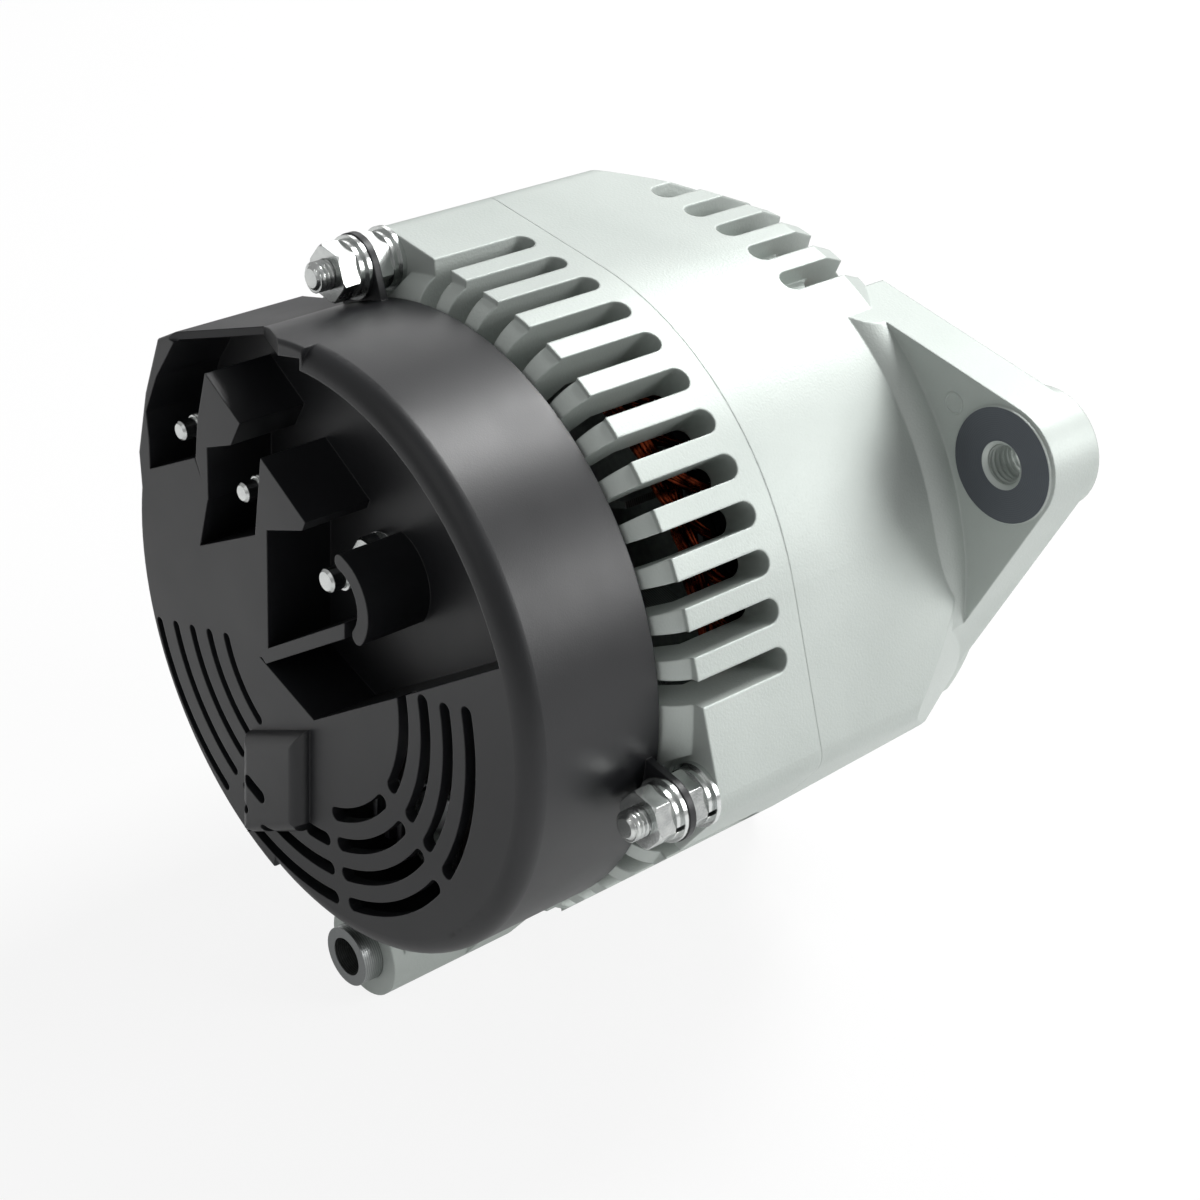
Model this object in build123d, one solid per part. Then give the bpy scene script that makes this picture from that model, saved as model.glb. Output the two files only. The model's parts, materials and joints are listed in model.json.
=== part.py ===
from build123d import *
import os
from math import cos, radians, sin, sqrt

# Belt-driven vehicle alternator, in millimetres.
# The shaft is the Y axis, with the pulley's belt centre at the origin and the black cover at +Y.
# +Z is up and the two mounting feet hang below the shaft.
# Angles around the shaft are measured from +X towards +Z.

# Castings
stator_radius = 59.5
body_wall = 7.1
seam_y = 82.6
casting_front_y = 21.0
casting_rear_y = 114.0
body_radius = stator_radius + body_wall
nose_taper = 5.4
nose_radius = body_radius - nose_taper
casting_wall = 4.5
corner_radius = 9.0
nose_corner_radius = 3.0
lower_flat_angle = 223.0
lower_flat_distance = body_radius - 3.0
lower_flat_slope = 2.4
spigot_length = 1.6
spigot_clearance = 0.1

# Stator
stator_thickness = 12.5
stator_bore_radius = stator_radius - stator_thickness
stator_length = 36.0
stator_slots = 36
stator_slot_width = 4.0
stator_slot_depth = 7.0
slot_mouth_width = 2.0
slot_lip = 1.2
slot_liner = 0.3
winding_height = 16.5
winding_inner_gap = 1.5
winding_outer_gap = 1.6

# Rotor
air_gap = 0.4
claw_count = 6
claw_root_half_angle = 13.5
claw_tip_half_angle = 6.5
claw_disc_thickness = 12.0
claw_tip_thickness = 4.5
claw_root_depth = 11.0
rotor_length = 46.0
core_radius = 24.0
shaft_radius = 8.5
coil_clearance = 2.1
bobbin_wall = 1.3
fan_plate = 1.4
fan_blade_count = 11
fan_blade_height = 9.0
fan_clearance = 3.0
fan_blade_length = 13.0
fan_outer_radius = stator_bore_radius - fan_clearance
fan_inner_radius = fan_outer_radius - fan_blade_length

# Bearings
front_bearing_od = 47.0
front_bearing_bore = 17.0
front_bearing_width = 14.0
rear_bearing_od = 35.0
rear_bearing_bore = 15.0
rear_bearing_width = 11.0
running_clearance = 0.05
fit_clearance = 0.02
bearing_sleeve_wall = 1.4
retainer_screw_radius = 2.0
retainer_head_radius = 3.0

# Slip rings and brushes
slip_ring_radius = 8.0
slip_ring_width = 5.0
slip_ring_gap = 1.0
slip_hub_flange = 0.9
brush_width = 6.4
brush_thickness = 4.2
brush_holder_wall = 1.05
brush_length = 16.0
brush_lift = 3.0
brush_clearance = 0.12
brush_spring_wire = 0.55

# Pulley
pulley_radius = 28.0
pulley_half_width = 12.5
belt_ribs = 6
belt_pitch = 3.56
belt_groove_depth = 3.0
belt_groove_floor = 0.7
belt_groove_land = 0.9
pulley_recess_depth = 11.0
pulley_nut_flats = 24.0
pulley_nut_height = 9.0

# Studs that clamp the castings, and what sits on them
stud_angles = (67.0, 187.0, 307.0)
stud_circle = body_radius + 2.0
stud_radius = 3.0
stud_hole_clearance = 0.3
stud_engagement = 22.0
stud_boss_radius = 5.9
stud_seat_y = 109.0
stud_end_y = 127.0
nut_flats = 10.0
nut_height = 4.0
washer_radius = 6.3
flat_washer_thickness = 1.0
spring_washer_radius = 5.6
spring_washer_thickness = 1.4

# Air slots in the castings
air_slots_per_sector = 12
air_slot_pitch = 8.0
air_slot_width = 5.0
air_slot_phase = 125.6
air_slot_front_y = 87.2
air_slot_inner_radius = 49.0
nose_slot_pitch = 8.0
nose_slot_phase = 110.8
nose_slot_width = 5.2
nose_slot_inner_radius = 38.0
nose_slot_through_y = 43.0
nose_slot_end_y = 52.0
nose_slot_floor = 2.6
rib_slope_start_y = 32.0
rib_slope_depth = 11.0

# Mounting ear and feet
ear_angle = 151.2
ear_hole_distance = body_radius + 15.9
ear_hole_radius = 4.0
ear_hole_chamfer = 0.8
ear_boss_radius = 12.2
ear_front_y = 27.0
ear_rear_y = 38.5
ear_boss_front_y = 25.6
ear_pad_height = 0.8
ear_web_radius = 8.0
foot_distance = body_radius + 9.9
foot_radius = 10.5
foot_bolt_radius = 4.2
front_foot_rear_y = 38.0
rear_foot_front_y = 108.0
rear_foot_rear_y = 133.0
bush_outer_radius = 6.5
bush_overhang = 4.5

# Rear cover
cover_radius = body_radius - 4.6
cover_wall = 2.5
cover_rear_y = 144.5
cover_edge_radius = 4.0
cover_sharp_edge_radius = 1.0
cover_skin = 2.0
pocket_depth = 15.0
pocket_floor_y = cover_rear_y - pocket_depth
barrier_angle = 117.5
barrier_height = 22.5
hump_height = 3.2
notch_depth = 9.7
shroud_centre = (-4.3, 14.3)
shroud_radius = 8.6
shroud_thickness = 3.2
tab_width = 13.0
tab_thickness = 1.5

# Terminals
main_stud_place = (47.0, 27.5)
second_stud_place = (25.8, 23.2)
lamp_stud_place = (-1.3, 16.6)
terminal_stud_radius = 2.5
lamp_stud_radius = 3.0
terminal_end_y = cover_rear_y - 0.5
terminal_thread_depth = 0.5
terminal_nut_height = 4.0
terminal_washer_thickness = 0.8

# Rectifier and regulator
heat_sink_inner_radius = 27.0
heat_sink_outer_radius = cover_radius - cover_wall - 1.0
heat_sink_thickness = 2.4
diode_radius = 6.4
diode_height = 5.6
regulator_width = 34.0
regulator_thickness = 12.0
regulator_rim_gap = 5.5
regulator_screw_x = 13.0
regulator_screw_radius = 2.0

ALONG = (0, 1, 0)


def polar(radius, angle):
    return radius * cos(radians(angle)), radius * sin(radians(angle))


def turn(angle):
    return Rot(0, -angle, 0)


def place(radius, angle, y=0.0):
    x, z = polar(radius, angle)
    return Pos(x, y, z)


def station(y):
    return Plane(origin=(0, y, 0), x_dir=(1, 0, 0), z_dir=(0, -1, 0))


def prism(outline, y_from, y_to):
    return extrude(station(y_from) * outline, amount=y_to - y_from, dir=ALONG)


def rod(radius, y_from, y_to):
    return prism(Circle(radius), y_from, y_to)


def tube(outer, inner, y_from, y_to):
    return prism(Circle(outer) - Circle(inner), y_from, y_to)


def turned(points):
    return revolve(make_face(Polyline(*points, close=True)), Axis.Y)


def outline(points):
    return make_face(Polyline(*points, close=True))


def hull_of(circles):
    edges = []
    for x, z, radius in circles:
        edges += (Pos(x, z) * Circle(radius)).edges()
    return make_hull(edges)


def fused(shapes):
    shapes = list(shapes)
    return shapes[0] if len(shapes) == 1 else shapes[0].fuse(*shapes[1:])


def group(shapes):
    return Compound(children=[s for shape in shapes for s in shape.solids()])


def around(shape, angles):
    return [turn(angle) * shape for angle in angles]


def evenly(count, start=0.0):
    return [start + 360.0 * index / count for index in range(count)]


def hexagon(flats):
    return RegularPolygon(flats / 2, 6, major_radius=False)


def hex_nut(flats, bore, y_from, y_to):
    blank = prism(hexagon(flats) - Circle(bore), y_from, y_to)
    corner = flats / sqrt(3)
    chamfer = (corner - flats / 2) * 0.5
    bevel = turned([
        (0, y_from), (corner - chamfer, y_from), (corner, y_from + chamfer), (corner, y_to - chamfer),
        (corner - chamfer, y_to), (0, y_to)])
    return blank & bevel


def spring_washer(outer, inner, y_from, y_to):
    gap = Pos((outer + inner) / 2, (y_from + y_to) / 2, 0) * Box(outer, 3 * (y_to - y_from), 1.2)
    return tube(outer, inner, y_from, y_to) - gap


# Stations along the shaft that follow from the driving sizes
stator_rear_y = seam_y - spigot_length
stator_front_y = stator_rear_y - stator_length
stator_centre_y = (stator_front_y + stator_rear_y) / 2
rotor_front_y = stator_centre_y - rotor_length / 2
rotor_rear_y = stator_centre_y + rotor_length / 2
rotor_radius = stator_bore_radius - air_gap
coil_outer_radius = rotor_radius - claw_root_depth - coil_clearance
casting_inner_radius = stator_radius - 1.5
front_bearing_y = casting_front_y + 1.5
front_bearing_rear_y = front_bearing_y + front_bearing_width
rear_bearing_rear_y = casting_rear_y - 3.0
rear_bearing_y = rear_bearing_rear_y - rear_bearing_width
inner_ring_y = casting_rear_y + 0.8
outer_ring_y = inner_ring_y + slip_ring_width + slip_ring_gap
shaft_end_y = outer_ring_y + slip_ring_width + slip_hub_flange
cover_front_y = casting_rear_y
hardware_y = [stud_seat_y]
for step in (flat_washer_thickness, spring_washer_thickness, nut_height, tab_thickness,
             flat_washer_thickness, spring_washer_thickness, nut_height):
    hardware_y.append(hardware_y[-1] + step)
front_hub_radius = front_bearing_od / 2 + 5.5
rear_hub_radius = rear_bearing_od / 2 + bearing_sleeve_wall + 3.6
foot_z = -foot_distance
terminal_nut_y = pocket_floor_y + terminal_washer_thickness
terminal_nut_top_y = terminal_nut_y + terminal_nut_height
terminals = (
    (main_stud_place, terminal_stud_radius), (second_stud_place, terminal_stud_radius),
    (lamp_stud_place, lamp_stud_radius))


def air_slot(width, end_y, open_y, inner, outer, rounded_at_start=True):
    """A bar with one round end, standing radially, that cuts one air slot."""
    centre_y = end_y + width / 2 if rounded_at_start else end_y - width / 2
    length = abs(open_y - centre_y)
    middle = (centre_y + open_y) / 2
    profile = Pos(0, centre_y) * Circle(width / 2) + Pos(0, middle) * Rectangle(width, length)
    side = Plane(origin=(inner, 0, 0), x_dir=(0, 0, 1), z_dir=(-1, 0, 0))
    return extrude(side * profile, amount=outer - inner, dir=(1, 0, 0))


def lower_flat(from_y, to_y, distance_from, distance_to):
    """The flatter lower side of the castings, as a block to take away."""
    depth = 30.0
    profile = outline([
        (distance_from, from_y), (distance_to, to_y), (distance_to + depth, to_y),
        (distance_from + depth, from_y)])
    block = extrude(profile, amount=120.0, both=True)
    return turn(lower_flat_angle) * block


def boss_outline():
    """The round body with its three stud bosses, joined by flat sides."""
    bosses = [(*polar(stud_circle, angle), stud_boss_radius) for angle in stud_angles]
    return hull_of([(0, 0, body_radius)] + bosses)


def sector(start, end, y_from, y_to):
    """A pie slice around the shaft between two angles, wider than the castings."""
    points = [polar(2 * body_radius, start + (end - start) * share / 6) for share in range(7)]
    return prism(outline([(0, 0)] + points), y_from, y_to)


def rear_casting():
    rear_inner_y = casting_rear_y - casting_wall
    corner = corner_radius
    shell_face = make_face(
        Polyline(
            (body_radius - corner, casting_rear_y), (slip_ring_radius + 3.5, casting_rear_y),
            (slip_ring_radius + 3.5, rear_bearing_rear_y),
            (rear_bearing_od / 2 + bearing_sleeve_wall, rear_bearing_rear_y),
            (rear_bearing_od / 2 + bearing_sleeve_wall, rear_bearing_y - 1.0),
            (rear_hub_radius, rear_bearing_y - 1.0), (rear_hub_radius, rear_inner_y),
            (casting_inner_radius - 5.0, rear_inner_y), (casting_inner_radius, rear_inner_y - 5.0),
            (casting_inner_radius, stator_rear_y), (stator_radius, stator_rear_y),
            (stator_radius, seam_y), (body_radius, seam_y), (body_radius, casting_rear_y - corner))
        + RadiusArc(
            (body_radius, casting_rear_y - corner), (body_radius - corner, casting_rear_y), -corner))
    body = revolve(shell_face, Axis.Y)
    bosses = prism(boss_outline(), seam_y, stud_seat_y) - rod(stator_radius + 1.0, seam_y, stud_seat_y)
    body = fused([body, bosses])
    seat = Pos(stud_circle, 0, 0) * rod(washer_radius + 1.2, stud_seat_y, casting_rear_y + 1)
    hole = Pos(stud_circle, 0, 0) * rod(stud_radius + stud_hole_clearance, seam_y - 5, stud_seat_y + 1)
    cuts = around(seat, stud_angles) + around(hole, stud_angles)
    slot = air_slot(air_slot_width, air_slot_front_y, casting_rear_y + 5, air_slot_inner_radius, 80.0)
    first = air_slot_phase - air_slot_pitch * (air_slots_per_sector - 1) / 2
    angles = []
    for third in range(3):
        for index in range(air_slots_per_sector):
            angles.append(first + 120.0 * third + air_slot_pitch * index)
    cuts += around(slot, angles)
    body = body.cut(*cuts)
    body = body.cut(lower_flat(seam_y - 1, casting_rear_y + 1, lower_flat_distance, lower_flat_distance))
    foot_base = hull_of([
        (0, foot_z, foot_radius), (*polar(casting_inner_radius + 2.5, 243), 2.0),
        (*polar(casting_inner_radius + 2.5, 297), 2.0)])
    base = prism(foot_base, rear_foot_front_y - 8, casting_rear_y - 1.0)
    base = base - rod(casting_inner_radius, rear_foot_front_y - 9, casting_rear_y)
    lug = Pos(0, 0, foot_z) * rod(foot_radius, rear_foot_front_y, rear_foot_rear_y)
    web_face = outline([
        (casting_rear_y - 2, -cover_radius - 1.6), (rear_foot_rear_y - 3, -cover_radius - 3.0),
        (rear_foot_rear_y - 3, foot_z), (casting_rear_y - 2, foot_z)])
    web_plane = Plane(origin=(-foot_radius + 0.5, 0, 0), x_dir=(0, 1, 0), z_dir=(1, 0, 0))
    web = extrude(web_plane * web_face, amount=2 * foot_radius - 1.0, dir=(1, 0, 0))
    body = fused([body, base, lug, web])
    bush_hole = rod(bush_outer_radius + running_clearance, rear_foot_front_y - 12, rear_foot_rear_y + 1)
    return body - Pos(0, 0, foot_z) * bush_hole


def front_casting():
    inner_face_y = casting_front_y + casting_wall + 0.5
    hub_bore = front_bearing_od / 2 + fit_clearance
    corner = nose_corner_radius
    start = (nose_radius, casting_front_y + corner)
    end = (nose_radius - corner, casting_front_y)
    shell_face = make_face(
        Polyline(
            end, (front_hub_radius, casting_front_y), (front_hub_radius, casting_front_y - 1.5),
            (15.5, casting_front_y - 1.5), (15.5, front_bearing_y), (hub_bore, front_bearing_y),
            (hub_bore, front_bearing_rear_y), (front_hub_radius, front_bearing_rear_y),
            (front_hub_radius, inner_face_y), (casting_inner_radius - 6.0, inner_face_y),
            (casting_inner_radius, inner_face_y + 6.0), (casting_inner_radius, stator_front_y),
            (stator_radius + spigot_clearance, stator_front_y), (stator_radius + spigot_clearance, seam_y),
            (body_radius, seam_y), start)
        + RadiusArc(start, end, corner))
    body = revolve(shell_face, Axis.Y)
    cavity = turned([
        (0, casting_front_y - 2), (50.0, casting_front_y - 2), (casting_inner_radius - 6.0, inner_face_y),
        (casting_inner_radius, inner_face_y + 6.0), (casting_inner_radius, stator_front_y),
        (stator_radius + spigot_clearance, stator_front_y), (stator_radius + spigot_clearance, seam_y),
        (0, seam_y)])

    # The stud bosses run out along a cone towards the nose
    boss_reach = stud_circle + stud_boss_radius + 1.0
    run_out = turned([
        (0, seam_y), (boss_reach, seam_y), (boss_reach, seam_y - stud_engagement - 3.0),
        (nose_radius - 0.5, casting_front_y + corner), (0, casting_front_y + corner)])
    bosses = prism(boss_outline(), casting_front_y, seam_y) & run_out

    # The ear is a plate tangent to the body, with a hollow web behind it
    ear_outline = hull_of([(0, 0, nose_radius), (*polar(ear_hole_distance, ear_angle), ear_boss_radius)])
    plate = prism(ear_outline, ear_front_y, ear_rear_y)
    at_ear = place(ear_hole_distance, ear_angle)
    ear_boss = at_ear * rod(ear_boss_radius, ear_boss_front_y, ear_rear_y)
    ear_pad = at_ear * rod(ear_boss_radius - 0.6, ear_rear_y, ear_rear_y + ear_pad_height)
    web_foot_y = ear_rear_y + ear_web_radius
    body_at_ear = nose_radius + nose_taper * (ear_rear_y - casting_front_y) / (seam_y - casting_front_y)
    web_low = (body_at_ear, web_foot_y)
    web_high = (body_at_ear + ear_web_radius * 0.75, ear_rear_y)
    web_face = make_face(
        Polyline(web_high, (body_at_ear - 3.0, ear_rear_y), (body_at_ear - 3.0, web_foot_y), web_low)
        + RadiusArc(web_low, web_high, ear_web_radius))
    web = revolve(web_face, Axis.Y) & prism(ear_outline, ear_rear_y, web_foot_y)
    foot_outline = hull_of([
        (0, foot_z, foot_radius), (*polar(nose_radius - 6.0, 240), 2.0),
        (*polar(nose_radius - 6.0, 300), 2.0)])
    foot = prism(foot_outline, casting_front_y, front_foot_rear_y)
    body = fused([body] + [part - cavity for part in (bosses, plate, web, foot)] + [ear_boss, ear_pad])

    # Ribs between the front slots slope back towards the nose's edge
    slope = turned([
        (nose_radius + 9.0, casting_front_y - 9.0), (nose_radius + 9.0, rib_slope_start_y),
        (nose_radius, rib_slope_start_y), (nose_radius - rib_slope_depth, casting_front_y),
        (nose_radius - rib_slope_depth, casting_front_y - 9.0)])
    cuts = []
    free_sectors = ((stud_angles[0] + 8, ear_angle - 36), (stud_angles[2] + 10, stud_angles[0] + 352))
    for first, last in free_sectors:
        cuts.append(slope & sector(first, last, casting_front_y - 9, rib_slope_start_y))
    slot_open_y = casting_front_y - 5
    through = air_slot(
        nose_slot_width, nose_slot_through_y, slot_open_y, nose_slot_inner_radius, 90.0, False)
    groove = air_slot(
        nose_slot_width, nose_slot_end_y, slot_open_y, stator_radius + nose_slot_floor, 90.0, False)
    for step in range(round(360 / nose_slot_pitch)):
        angle = (nose_slot_phase + nose_slot_pitch * step) % 360
        beside_ear = ear_angle - 37 < angle < ear_angle + 52
        beside_foot = 246 < angle < 294
        beside_stud = min(abs(angle - stud) for stud in stud_angles) < 11
        if not (beside_ear or beside_foot or beside_stud):
            cuts += [turn(angle) * through, turn(angle) * groove]
    tapped = rod(stud_radius + fit_clearance, seam_y - stud_engagement, seam_y + 1)
    cuts += around(Pos(stud_circle, 0, 0) * tapped, stud_angles)
    pad_y = ear_rear_y + ear_pad_height
    ear_hole = turned([
        (0, ear_boss_front_y - 1), (ear_hole_radius, ear_boss_front_y - 1),
        (ear_hole_radius, pad_y - ear_hole_chamfer), (ear_hole_radius + ear_hole_chamfer, pad_y),
        (ear_hole_radius + ear_hole_chamfer, pad_y + 1), (0, pad_y + 1)])
    cuts.append(at_ear * ear_hole)
    cuts.append(Pos(0, 0, foot_z) * rod(foot_bolt_radius, casting_front_y - 1, front_foot_rear_y + 1))
    body = body.cut(*cuts)
    return body.cut(lower_flat(
        casting_front_y - 1, seam_y + 1, lower_flat_distance - lower_flat_slope, lower_flat_distance))


def stator_core():
    core = tube(stator_radius, stator_bore_radius, stator_front_y, stator_rear_y)
    pocket = Rectangle(stator_slot_depth, stator_slot_width)
    pocket = Pos(stator_bore_radius + slot_lip + stator_slot_depth / 2, 0) * pocket
    mouth = Pos(stator_bore_radius, 0) * Rectangle(4.0, slot_mouth_width)
    cutter = prism(pocket + mouth, stator_front_y - 1, stator_rear_y + 1)
    return core.cut(*around(cutter, evenly(stator_slots)))


def stator_windings():
    inner = stator_bore_radius + winding_inner_gap
    outer = casting_inner_radius - winding_outer_gap
    bundles = []
    for near_y, far_y in ((stator_front_y, stator_front_y - winding_height),
                          (stator_rear_y, stator_rear_y + winding_height)):
        slant = (far_y - near_y) * 0.18
        bundles.append(turned([
            (inner, near_y), (outer - 1.5, near_y), (outer, near_y + slant), (outer, far_y - slant),
            (outer - 2.5, far_y), (inner + 2.5, far_y), (inner, far_y - slant)]))
    bar = Pos(stator_bore_radius + slot_lip + stator_slot_depth / 2, 0)
    bar = bar * Rectangle(stator_slot_depth - 2 * slot_liner, stator_slot_width - 2 * slot_liner)
    bars = around(prism(bar, stator_front_y - 1, stator_rear_y + 1), evenly(stator_slots))
    return fused(bundles + bars)


def rotor_shaft():
    nose_y = -pulley_half_width - 4.5
    bearing_seat = shaft_radius - fit_clearance
    rear_seat = rear_bearing_bore / 2 - fit_clearance
    shoulder = shaft_radius + 3.5
    return turned([
        (0, nose_y), (shaft_radius - 1.5, nose_y), (shaft_radius - fit_clearance, nose_y + 1.5),
        (bearing_seat, front_bearing_rear_y), (shoulder, front_bearing_rear_y), (shoulder, rotor_front_y),
        (10.0, rotor_front_y), (10.0, rear_bearing_y), (rear_seat, rear_bearing_y),
        (rear_seat, rear_bearing_rear_y),
        (4.0, rear_bearing_rear_y), (4.0, shaft_end_y), (0, shaft_end_y)])


def claw_pole(disc_y, inward):
    """One pole: a disc on the shaft whose rim carries claws that reach over the field coil."""
    disc_inner_y = disc_y + inward * claw_disc_thickness
    far_y = disc_y + inward * (rotor_length - 2.0)
    disc = tube(rotor_radius - claw_root_depth + 1.0, 10.0 + fit_clearance, *sorted((disc_y, disc_inner_y)))
    profile = turned([
        (rotor_radius - claw_root_depth - 3.0, disc_y), (rotor_radius - 1.5, disc_y),
        (rotor_radius, disc_y + inward * 1.5), (rotor_radius, far_y),
        (rotor_radius - claw_tip_thickness, far_y), (rotor_radius - claw_root_depth, disc_inner_y),
        (rotor_radius - claw_root_depth - 3.0, disc_inner_y)])
    root_half = (rotor_radius + 1) * sin(radians(claw_root_half_angle))
    tip_half = (rotor_radius + 1) * sin(radians(claw_tip_half_angle))
    side = Plane(origin=(20.0, 0, 0), x_dir=(0, 0, 1), z_dir=(-1, 0, 0))
    shape = outline([
        (-root_half, disc_y - inward), (root_half, disc_y - inward), (root_half, disc_inner_y),
        (tip_half, far_y + inward), (-tip_half, far_y + inward), (-root_half, disc_inner_y)])
    blank = extrude(side * shape, amount=30.0, dir=(1, 0, 0))
    claw = blank & profile
    start = 0.0 if inward > 0 else 180.0 / claw_count
    return fused([disc] + around(claw, evenly(claw_count, start)))


def fan(plate_y, outward):
    """A pressed plate with swept blades that stand away from the rotor."""
    far_y = plate_y + outward * fan_plate
    tip_y = far_y + outward * fan_blade_height
    plate = tube(fan_outer_radius, shaft_radius + 4.5, *sorted((plate_y, far_y)))
    span = fan_outer_radius - fan_inner_radius
    blade = Pos(fan_inner_radius + span / 2, 0) * Rot(0, 0, 28) * Rectangle(span, fan_plate)
    blade = prism(blade, *sorted((plate_y, tip_y)))
    blades = around(blade, evenly(fan_blade_count))
    rim = rod(fan_outer_radius, *sorted((plate_y, tip_y)))
    return fused([plate] + blades) & rim


def bearing(od, bore, width, y_from):
    """Outer race, inner race, balls and cage of a deep groove ball bearing."""
    outer, inner = od / 2, bore / 2
    pitch = (outer + inner) / 2
    ball = (outer - inner) * 0.29
    land = (outer - inner) * 0.27
    y_to = y_from + width
    middle_y = (y_from + y_to) / 2
    groove = turned_ring(pitch, ball + running_clearance, middle_y)
    outer_race = tube(outer, outer - land, y_from, y_to) - groove
    inner_race = tube(inner + land, inner, y_from, y_to) - groove
    count = 8
    balls = around(Pos(pitch, middle_y, 0) * Sphere(ball), evenly(count))
    cage = tube(pitch + 1.1, pitch - 1.1, middle_y - ball - 0.8, middle_y + ball + 0.8)
    pocket = Pos(pitch, middle_y, 0) * Rot(0, 90, 0) * Cylinder(ball + 0.15, 6.0)
    cage = cage.cut(*around(pocket, evenly(count)))
    return outer_race, inner_race, group(balls), cage


def turned_ring(ring_radius, section_radius, y):
    return revolve(Pos(ring_radius, y) * Circle(section_radius), Axis.Y)


def pulley():
    bore = shaft_radius
    groove_half = (belt_pitch - belt_groove_land) / 2
    points = [(bore, pulley_half_width + 2.0), (bore, -pulley_half_width + pulley_recess_depth)]
    points += [(pulley_nut_flats / 2 + 3.6, -pulley_half_width + pulley_recess_depth)]
    points += [(pulley_nut_flats / 2 + 4.6, -pulley_half_width), (pulley_radius, -pulley_half_width)]
    first = -belt_pitch * (belt_ribs - 1) / 2
    floor_radius = pulley_radius - belt_groove_depth
    for index in range(belt_ribs):
        centre = first + belt_pitch * index
        points += [(pulley_radius, centre - groove_half), (floor_radius, centre - belt_groove_floor / 2)]
        points += [(floor_radius, centre + belt_groove_floor / 2), (pulley_radius, centre + groove_half)]
    points += [(pulley_radius, pulley_half_width), (pulley_radius - 6.0, pulley_half_width)]
    points += [(pulley_radius - 7.0, pulley_half_width - 5.0), (14.0, pulley_half_width - 5.0)]
    points += [(13.0, pulley_half_width + 2.0)]
    return turned(points)


def spring(wire, radius, turns, low, high):
    """A close coil along Z, drawn as a helix of square wire."""
    path = Helix(pitch=(high - low) / turns, height=high - low, radius=radius)
    section = Plane(origin=path @ 0, z_dir=path % 0) * Rectangle(wire * 2, wire * 2)
    return Pos(0, 0, low) * sweep(section, path=path, is_frenet=True)


def horseshoe(inner, outer, start, end):
    """A flat ring sector between two angles."""
    span = end - start
    points = [polar(outer * 1.5, start + span * share / 6) for share in range(7)]
    return (Circle(outer) - Circle(inner)) & outline([(0, 0)] + points)


def heat_sinks():
    negative = horseshoe(heat_sink_inner_radius, heat_sink_outer_radius, -35, 200)
    positive = horseshoe(heat_sink_inner_radius, heat_sink_outer_radius, -30, 195)
    return negative, positive


# Pieces of the rectifier sit on the rear face of the rear casting
negative_plate_y = casting_rear_y
positive_plate_y = pocket_floor_y - cover_skin - heat_sink_thickness - 1.0
negative_diode_angles = (-20.0, 22.0, 64.0, 106.0, 148.0, 190.0)
positive_diode_angles = (2.0, 70.0, 95.0, 120.0, 145.0, 170.0)
diode_circle = 42.0
support_angles = (-28.0, 75.0, 188.0)
support_circle = 52.5
support_screw_radius = 2.1


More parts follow.
